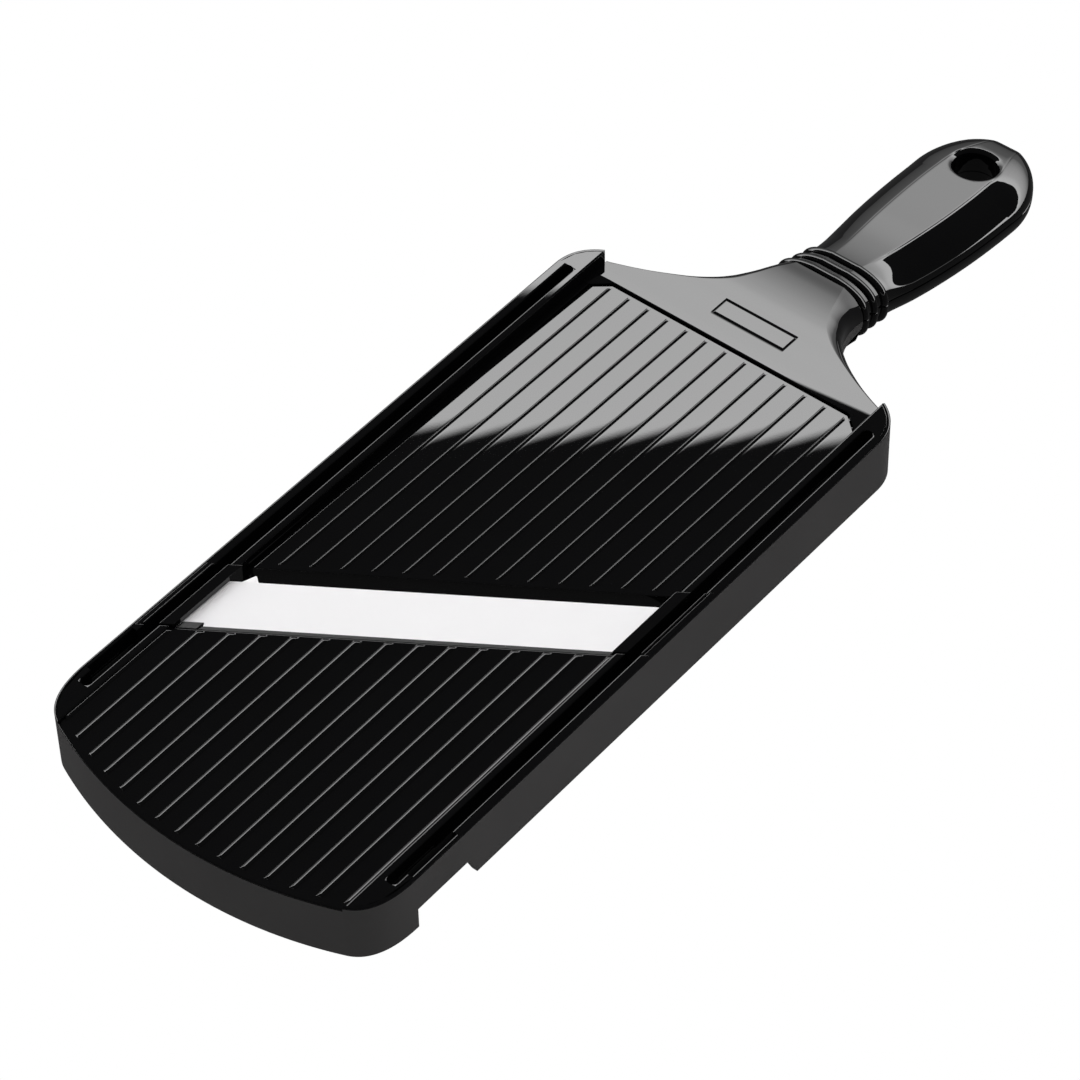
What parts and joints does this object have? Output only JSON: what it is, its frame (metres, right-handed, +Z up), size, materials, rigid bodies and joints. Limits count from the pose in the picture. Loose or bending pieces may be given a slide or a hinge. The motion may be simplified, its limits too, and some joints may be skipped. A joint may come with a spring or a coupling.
{
  "type": "mandoline slicer",
  "caption": "Flat ribbed hand slicer with a slanted white ceramic blade, a hinged feed ramp set by a cam rod underneath, guard grooves in both rails and a rounded handle with a hanging hole.",
  "frame": {"origin": "on the floor under the middle of the whole slicer's box, as it stands on its front edge and the underside of its handle", "axes": "+X along the slicer towards the handle, +Y across it to the left seen from the handle-less front end looking towards the handle, +Z up; the deck leans 3 degrees, higher towards the handle"},
  "size_m": [0.3874, 0.12, 0.0334],
  "materials": {
    "frame_plastic": "polished black, with satin side walls",
    "plate_plastic": "polished black",
    "handle_plastic": "polished black",
    "carrier_plastic": "satin black",
    "rod_plastic": "satin black",
    "blade_ceramic": "ground white zirconia",
    "screw_steel": "bright"
  },
  "bodies": {
    "body": {"main_frame": "frame_plastic", "blade_carrier": "carrier_plastic", "ceramic_blade": "blade_ceramic", "blade_end_clamp_left": "frame_plastic", "blade_end_clamp_right": "frame_plastic", "clamp_screw_left_1": "screw_steel", "clamp_screw_left_2": "screw_steel", "clamp_screw_right_1": "screw_steel", "clamp_screw_right_2": "screw_steel", "rod_cap_left": "rod_plastic", "rod_cap_right": "rod_plastic", "cap_screw_left_1": "screw_steel", "cap_screw_left_2": "screw_steel", "cap_screw_right_1": "screw_steel", "cap_screw_right_2": "screw_steel", "hinge_pin_left": "screw_steel", "hinge_pin_right": "screw_steel", "handle_upper_shell": "handle_plastic", "handle_lower_shell": "handle_plastic", "handle_screw_1": "screw_steel", "handle_screw_2": "screw_steel", "handle_screw_3": "screw_steel"},
    "plate": {"feed_plate": "plate_plastic"},
    "rod": {"thickness_rod": "rod_plastic"}
  },
  "joints": [
    {"name": "rod_turn", "type": "hinge", "parent": "body", "child": "rod", "pos_m": [-0.02507, 0, 0.0168], "axis": [0, 1, 0], "range_deg": [-270, 0]},
    {"name": "plate_tilt", "type": "hinge", "parent": "body", "child": "plate", "pos_m": [0.04462, 0, 0.02446], "axis": [0, 1, 0], "range_deg": [-1.21, 0]}
  ],
  "couplings": [
    {"joint": "plate_tilt", "follows": "rod_turn", "ratio": 0.00446}
  ]
}
